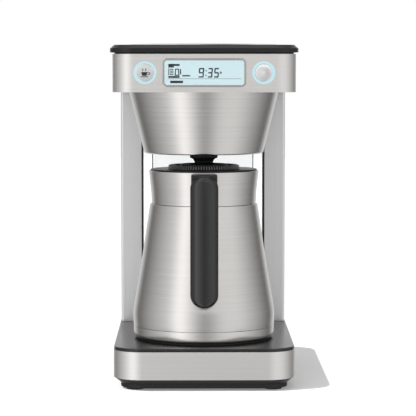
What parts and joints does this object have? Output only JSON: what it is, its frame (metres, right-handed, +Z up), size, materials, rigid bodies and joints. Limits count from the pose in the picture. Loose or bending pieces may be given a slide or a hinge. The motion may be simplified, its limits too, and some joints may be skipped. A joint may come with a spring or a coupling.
{
  "type": "drip coffee maker",
  "caption": "Drip coffee maker with a steel funnel head on two posts, a lit display and buttons, a rear water tank and a thermal carafe with a hanging handle.",
  "frame": {"origin": "centre of the bounding box on the table", "axes": "+Z up, the front with the display faces -Y, X is the width and the machine is symmetric about X = 0 outside"},
  "size_m": [0.228, 0.375, 0.4224],
  "materials": {
    "brushed_steel": "brushed",
    "polished_steel": "polished",
    "post_aluminium": "satin",
    "black_plastic": "fine satin",
    "deck_black": "soft gloss",
    "black_rubber": "matte",
    "silicone": "matte",
    "clear_plastic": "clear",
    "display_glass": "clear",
    "display_lit": "lit from behind",
    "light_ring": "lit from behind",
    "board_green": "solder mask",
    "cast_aluminium": "as cast",
    "screw_steel": "zinc plated",
    "hose_white": "translucent",
    "wire_black": "matte"
  },
  "bodies": {
    "machine": {"rubber_feet": "black_rubber", "base_pan": "black_plastic", "base_band": "brushed_steel", "base_deck": "deck_black", "base_screws": "screw_steel", "cord_gland": "black_plastic", "pump": "cast_aluminium", "heater_block": "cast_aluminium", "thermostat": "cast_aluminium", "control_board": "board_green", "column_left_cover": "post_aluminium", "column_right_cover": "post_aluminium", "column_left_inner": "black_plastic", "column_right_inner": "black_plastic", "column_screws": "screw_steel", "head_band": "brushed_steel", "head_chassis": "black_plastic", "head_rear_cover": "black_plastic", "display_bezel": "polished_steel", "display_lens": "display_glass", "display_panel": "display_lit", "display_board": "board_green", "brew_light_ring": "light_ring", "dial_light_ring": "light_ring", "brew_button_spring": "screw_steel", "dial_spring": "screw_steel", "funnel_shell": "brushed_steel", "funnel_liner": "black_plastic", "brew_basket": "black_plastic", "lid_hinge_pins": "screw_steel", "tank_valve_seat": "black_plastic", "cold_hose": "hose_white", "pump_tube": "hose_white", "hot_riser_tube": "hose_white", "wire_loom": "wire_black", "water_outlet": "black_plastic"},
    "lid": {"lid_shell": "black_plastic", "lid_plate": "brushed_steel", "shower_head": "black_plastic"},
    "carafe": {"carafe_body": "brushed_steel", "carafe_base_ring": "brushed_steel", "carafe_foot": "black_rubber", "carafe_liner": "brushed_steel", "carafe_collar": "brushed_steel", "carafe_handle": "black_plastic", "carafe_handle_bracket": "black_plastic"},
    "carafe_lid": {"carafe_lid": "black_plastic", "carafe_lid_seal": "silicone"},
    "brew_button": {"brew_button": "brushed_steel"},
    "dial_shaft": {"dial_shaft": "screw_steel"},
    "dial_knob": {"dial_knob": "brushed_steel"},
    "drip_stop": {"drip_stop_valve": "black_plastic"},
    "tank": {"tank_body": "clear_plastic", "tank_hinge_pins": "screw_steel"},
    "tank_cover": {"tank_cover": "clear_plastic"},
    "tank_valve": {"tank_valve": "silicone"}
  },
  "joints": [
    {"name": "lid_hinge", "type": "hinge", "parent": "machine", "child": "lid", "pos_m": [0, 0.1055, 0.413], "axis": [-1, 0, 0], "range_deg": [0, 88]},
    {"name": "carafe_slide", "type": "slide", "parent": "machine", "child": "carafe", "axis": [0, -1, 0], "range_m": [0, 0.22]},
    {"name": "carafe_lid_turn", "type": "hinge", "parent": "carafe", "child": "carafe_lid", "pos_m": [0, -0.0695, 0.26], "axis": [0, 0, 1], "range_deg": [0, 90]},
    {"name": "brew_button_press", "type": "slide", "parent": "machine", "child": "brew_button", "axis": [0, 1, 0], "range_m": [0, 0.0015], "stiffness_N_per_m": 900, "deforming": ["brew_button_spring"]},
    {"name": "dial_press", "type": "slide", "parent": "machine", "child": "dial_shaft", "axis": [0, 1, 0], "range_m": [0, 0.001], "stiffness_N_per_m": 900, "deforming": ["dial_spring"]},
    {"name": "dial_turn", "type": "hinge", "parent": "dial_shaft", "child": "dial_knob", "pos_m": [0.0713, -0.1845, 0.3855], "axis": [0, -1, 0], "continuous": true},
    {"name": "drip_stop_lift", "type": "slide", "parent": "machine", "child": "drip_stop", "axis": [0, 0, 1], "range_m": [0, 0.003], "stiffness_N_per_m": 300},
    {"name": "tank_lift", "type": "slide", "parent": "machine", "child": "tank", "axis": [0, 0, 1], "range_m": [0, 0.38]},
    {"name": "tank_cover_hinge", "type": "hinge", "parent": "tank", "child": "tank_cover", "pos_m": [0, 0.1827, 0.3953], "axis": [-1, 0, 0], "range_deg": [0, 100]},
    {"name": "tank_valve_lift", "type": "slide", "parent": "tank", "child": "tank_valve", "axis": [0, 0, 1], "range_m": [0, 0.002], "stiffness_N_per_m": 150}
  ]
}
